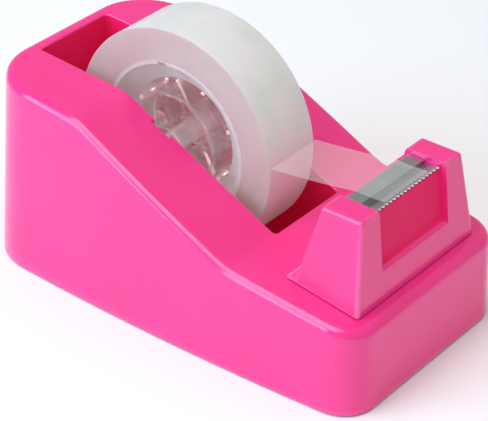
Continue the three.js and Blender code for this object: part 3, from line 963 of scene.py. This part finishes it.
def tape_roll():
    """The windings, with slightly uneven turns on both sides."""
    bore = CORE_RADIUS + ROLL_CLEARANCE
    rings = 26
    side = []
    for i in range(rings + 1):
        radius = bore + (ROLL_RADIUS - ROLL_EDGE - bore) * i / rings
        ripple = ROLL_RIPPLE * (0.5 + 0.5 * math.sin(5.1 * i) * math.cos(1.7 * i))
        side.append((radius, TAPE_HALF - ripple))
    crown = arc((ROLL_RADIUS - ROLL_EDGE, TAPE_HALF - ROLL_EDGE), ROLL_EDGE, 90, 0, CORNER_STEPS)
    outer = [(ROLL_RADIUS, TAPE_HALF - ROLL_EDGE - band * WEAR_AND_HIGHLIGHT_BAND) for band in (1, 2)]
    half = side[:-1] + crown + outer
    return turned(half + mirrored(half), ROLL_SEGMENTS)


def tape_core():
    """The core with its dished mouths and the shallow notch at its top."""
    mouth = CORE_RADIUS - CORE_LIP
    steps = 8
    cone = []
    for i in range(steps + 1):
        along = i / steps
        radius = CORE_BORE + (mouth - CORE_BORE) * along + CORE_DISH * math.sin(math.pi * along)
        cone.append((radius, CORE_WAIST / 2 + (TAPE_HALF - CORE_WAIST / 2) * along))
    half = cone + [(CORE_RADIUS, TAPE_HALF)]
    whole = mesh_of(*turned(half + mirrored(half), ROLL_SEGMENTS))
    x = AXLE.x - NOTCH_BEHIND_AXLE
    top = AXLE.z + mouth + NOTCH_OVERCUT
    notch = brick(x - NOTCH_HALF, x + NOTCH_HALF, TAPE_HALF + MM, top - NOTCH_HEIGHT, top)
    return combine(whole, [notch], "DIFFERENCE")


def ring(inner, outer, y0, y1, segments=DRUM_SEGMENTS):
    """A tube about the axle with rounded edges."""
    edge = min(EDGE_ROUND, (outer - inner) / 3)
    corners = [
        (outer - edge, y0 + edge, 270),
        (outer - edge, y1 - edge, 0),
        (inner + edge, y1 - edge, 90),
        (inner + edge, y0 + edge, 180),
    ]
    profile = []
    for radius, y, start in corners:
        profile += arc((radius, y), edge, start, start + 90, CORNER_STEPS)
    return mesh_of(*turned(profile, segments))


def fin(inner, outer, y0, y1, turn):
    """A blade standing out from the axle, with a rounded edge at its outer end face."""
    half = SPOKE_THICKNESS / 2
    outline = [(inner, -half), (outer - half / 2, -half)]
    outline += arc((outer - half / 2, -half / 2), half / 2, 270, 360, steps=3)
    outline += arc((outer - half / 2, half / 2), half / 2, 0, 90, steps=3)
    outline += [(inner, half)]
    angle = 2 * math.pi * turn

    def end_face(y):
        """The outline turned about the axle, at one end of the fin."""
        points = []
        for along, across in outline:
            x = AXLE.x + along * math.cos(angle) - across * math.sin(angle)
            points.append((x, y, AXLE.z + along * math.sin(angle) + across * math.cos(angle)))
        return points

    return between(end_face(y0), end_face(y1))


def hub_half():
    """The near half of the hub: drum, boss, spokes between them and gripping ribs outside."""
    drum = ring(DRUM_RADIUS - DRUM_WALL, DRUM_RADIUS, -DRUM_HALF, HUB.y1)
    parts = [ring(BOSS_BORE, BOSS_RADIUS, HUB.y0, HUB.y1, BOSS_SEGMENTS)]
    middle = DRUM_RADIUS - DRUM_WALL / 2
    for i in range(SPOKE_COUNT):
        parts.append(fin(BOSS_RADIUS - HUB_JOIN, middle, SPOKE_RECESS - DRUM_HALF, HUB.y1, i / SPOKE_COUNT))
    for i in range(RIB_COUNT):
        turn = (i + 0.5) / RIB_COUNT
        parts.append(fin(middle, DRUM_RADIUS + RIB_HEIGHT, -CORE_WAIST / 2, HUB.y1, turn))
    return sliced(combine(drum, parts, "UNION"), ACROSS, even_places(HUB.y0, HUB.y1, WEAR_AND_HIGHLIGHT_BAND))


def turned_over(mesh):
    """The same mesh turned half round about the fore-and-aft line through the axle."""
    copy = mesh.copy()
    centre = Matrix.Translation((0, 0, AXLE.z))
    copy.transform(centre @ Matrix.Rotation(math.pi, 4, "X") @ centre.inverted())
    return copy


def axle_pin():
    """A round pin with rounded ends, closed by a small flat in the middle of each."""
    end = arc((PIN_RADIUS - PIN_EDGE, PIN.y1 - PIN_EDGE), PIN_EDGE, 0, 90, steps=5)
    end += [(PIN_CENTRE, PIN.y1)]
    line = mirrored(end) + end
    count = len(line)
    faces = []
    for s in range(PIN_SEGMENTS):
        a, b = s * count, (s + 1) % PIN_SEGMENTS * count
        faces += [(a + i, a + i + 1, b + i + 1, b + i) for i in range(count - 1)]
    faces.append(tuple(s * count for s in range(PIN_SEGMENTS)))
    faces.append(tuple(s * count + count - 1 for s in range(PIN_SEGMENTS)))
    return mesh_of(about_axle(line, PIN_SEGMENTS), faces)


# ---------------------------------------------------------------- pieces
def second_material(piece, material, chosen):
    """Gives the chosen faces of a piece a second material."""
    piece.data.materials.append(material)
    for face in piece.data.polygons:
        if chosen(face):
            face.material_index = 1


GROUND_ACROSS = (1, 0.04, 1)
WOUND_ALONG = (1, 0.25, 1)

PINK = pink_plastic("pink_plastic", dark=(0.915, 0.019, 0.235), light=(0.955, 0.025, 0.268),
                    gloss=0.80, roughness=0.09)
CLEAR = clear_plastic()
body = dress(body_shell(), "body", "stand", PINK, 35, ["body_shell"])
# Inside the well the same plastic takes a matte finish and a redder, less blue colour: painted bounce light
# between the pink walls.
well_pink_painted_bounce = pink_plastic("pink_well_painted_bounce", dark=(0.96, 0.012, 0.120), light=(0.99, 0.018, 0.145),
                         gloss=0.10, roughness=0.50)
second_material(body, well_pink_painted_bounce, lambda face: in_well(face.center))

head_mesh, in_recess = cutter_head()
head = dress(head_mesh, "head", "stand", PINK, 35, ["cutter_head"])
# The recess under the blade's lip is matte and takes a darker, redder pink: painted shade under the lip.
recess_shaded_pink = pink_plastic("pink_matte_painted_shade", dark=(0.88, 0.018, 0.135), light=(0.92, 0.025, 0.165),
                           gloss=0.12, roughness=0.45)
second_material(head, recess_shaded_pink, lambda face: face.normal.x > 0.5 and in_recess(face.center))

steel = metal("blade_steel", dark=(0.36, 0.365, 0.355), light=(0.50, 0.505, 0.49),
              low=0.28, high=0.42, stretch=GROUND_ACROSS)
blade_rows = toothed_rows(blade_line(), BLADE.y1, TOOTH_PITCH, TOOTH_DEPTH)
blade_mesh = mesh_of(*sheet_solid(blade_rows, BLADE_THICKNESS))
blade_mesh = sliced(blade_mesh, ALONG, even_places(BLADE.x0, BLADE.x1, WEAR_AND_HIGHLIGHT_BAND))
blade = dress(blade_mesh, "blade", "stand", steel, 30, ["serrated_blade"])
# The groove's upper faces take a darker copy of the steel: painted shade in the groove.
groove_painted_shade_steel = metal("groove_painted_shade_steel", dark=(0.19, 0.193, 0.185), light=(0.29, 0.293, 0.283),
                     low=0.35, high=0.50, stretch=GROUND_ACROSS)
groove_start = BLADE.x0 + BLADE_FLAT
groove_end = groove_start + GROOVE_WIDTH
second_material(blade, groove_painted_shade_steel,
              lambda face: face.normal.z > 0 and groove_start < face.center.x < groove_end)

film_rows = toothed_rows(film_line(), TAPE_HALF, TOOTH_PITCH, FILM_TOOTH)
new_piece("strip", "stand", "tape_film", tape_film(), *sheet_solid(film_rows, FILM),
          sharp=60, replaced=["tape_strip"])

winding = frosted("tape", dark=(0.77, 0.87, 0.81), light=(0.97, 0.93, 0.935), ends=(0.60, 0.50, 0.47),
                  transmission=0.40, glow=0.05, stretch=WOUND_ALONG)
core_plastic = frosted("core_plastic", dark=(0.74, 0.75, 0.73), light=(0.88, 0.87, 0.86),
                       ends=(0.82, 0.90, 0.86), transmission=0.55, glow=0.05)
new_piece("roll", "spool", "tape", winding, *tape_roll(), replaced=["tape_roll"])
dress(tape_core(), "core", "spool", core_plastic, 30, ["tape_core"])
near_half = hub_half()
far_half = turned_over(near_half)
dress(near_half, "hub_near", "spool", CLEAR, 30, ["hub_near_half"])
dress(far_half, "hub_far", "spool", CLEAR, 30, ["hub_far_half"])
dress(axle_pin(), "pin", "axle", CLEAR, 40, ["axle_pin"])

# Hidden pieces keep their CAD meshes and take a material each.
screw_steel = metal("screw_steel", dark=(0.45, 0.45, 0.46), light=(0.62, 0.62, 0.63),
                    low=0.25, high=0.45, stretch=(1, 1, 1))
kept = {
    "base_plate": rough_solid("base_plastic", dark=(0.016, 0.016, 0.018), light=(0.032, 0.032, 0.035),
                              low=0.45, high=0.7, scale=90, depth=0.0002),
    "ballast_block": rough_solid("ballast", dark=(0.10, 0.10, 0.10), light=(0.19, 0.185, 0.18),
                                 low=0.6, high=0.9, scale=140, depth=0.0004, metallic=0.6),
    "nonslip_pad": rough_solid("pad_foam", dark=(0.010, 0.010, 0.011), light=(0.022, 0.022, 0.024),
                               low=0.85, high=1.0, scale=300, depth=0.0004),
}
for name, part in frame["nodes"].items():
    material = screw_steel if "screw" in name else kept.get(name)
    if material:
        for place in part.material_slots:
            place.material = material


# ---------------------------------------------------------------- camera, floor and light
CAMERA_AIM = Vector((5.8, -4.4, -11.0)) * MM     # from the middle of the object
CAMERA_DISTANCE = 588.6 * MM
CAMERA_AZIMUTH = 36.64
CAMERA_ELEVATION = 32.308
CAMERA_TILT = 1.871
FOCAL_LENGTH = 165.2                             # this and the sensor in the lens's own millimetres
SENSOR_WIDTH = 36
LIGHT_AIM = Vector((0, 0, 0.03))
FLOOR_HALF = 3.0
SKY_STRENGTH = 0.5


def place_camera():
    """Looks down on the near side and the blade end, as far off as a long lens needs."""
    low, high = (Vector(corner) for corner in cad_bounds)
    target = (low + high) / 2 + CAMERA_AIM
    azimuth = math.radians(CAMERA_AZIMUTH)
    elevation = math.radians(CAMERA_ELEVATION)
    tilt = math.radians(CAMERA_TILT)
    level = math.cos(elevation)
    back = Vector((math.sin(azimuth) * level, -math.cos(azimuth) * level, math.sin(elevation)))
    right = (-back).cross(Vector((0, 0, 1))).normalized()
    up = right.cross(-back)
    across = math.cos(tilt) * right + math.sin(tilt) * up
    upward = math.cos(tilt) * up - math.sin(tilt) * right
    lens = bpy.data.cameras.new("camera")
    lens.sensor_width = SENSOR_WIDTH
    lens.lens = FOCAL_LENGTH
    camera = bpy.data.objects.new("camera", lens)
    bpy.context.scene.collection.objects.link(camera)
    matrix = Matrix((across, upward, back)).transposed().to_4x4()
    matrix.translation = target + back * CAMERA_DISTANCE
    camera.matrix_world = matrix
    bpy.context.scene.camera = camera


def soft_light(name, place, width, power, colour):
    """A square soft light aimed at the middle of the object."""
    data = bpy.data.lights.new(name, "AREA")
    data.size = width
    data.energy = power
    data.color = colour
    lamp = bpy.data.objects.new(name, data)
    bpy.context.scene.collection.objects.link(lamp)
    lamp.location = place
    aim = LIGHT_AIM - lamp.location
    lamp.rotation_euler = aim.to_track_quat("-Z", "Y").to_euler()


def floor():
    """A plain pale floor, well past the camera's view."""
    far = FLOOR_HALF
    corners = [(-far, -far, 0), (far, -far, 0), (far, far, 0), (-far, far, 0)]
    mesh = mesh_of(corners, [(0, 1, 2, 3)], "floor")
    n = Nodes("floor")
    pale = n.ramp(n.noise(3), [(0.3, (0.93, 0.93, 0.93)), (0.7, (0.95, 0.95, 0.95))])
    n.put(Base_Color=pale, Roughness=0.9)
    mesh.materials.append(n.material)
    plane = bpy.data.objects.new("floor", mesh)
    bpy.context.scene.collection.objects.link(plane)


place_camera()
floor()
soft_light("side_light", place=(-0.45, -0.85, 0.45), width=0.7, power=7.0, colour=(0.52, 0.72, 1.0))
soft_light("top_light", place=(-0.10, -0.38, 1.0), width=0.8, power=6.4, colour=(1.0, 1.0, 0.98))
world = bpy.data.worlds.new("world")
world.use_nodes = True
sky = world.node_tree.nodes["Background"]
sky.inputs["Color"].default_value = (1, 1, 1, 1)
sky.inputs["Strength"].default_value = SKY_STRENGTH
bpy.context.scene.world = world
bpy.context.scene.view_settings.view_transform = "Standard"
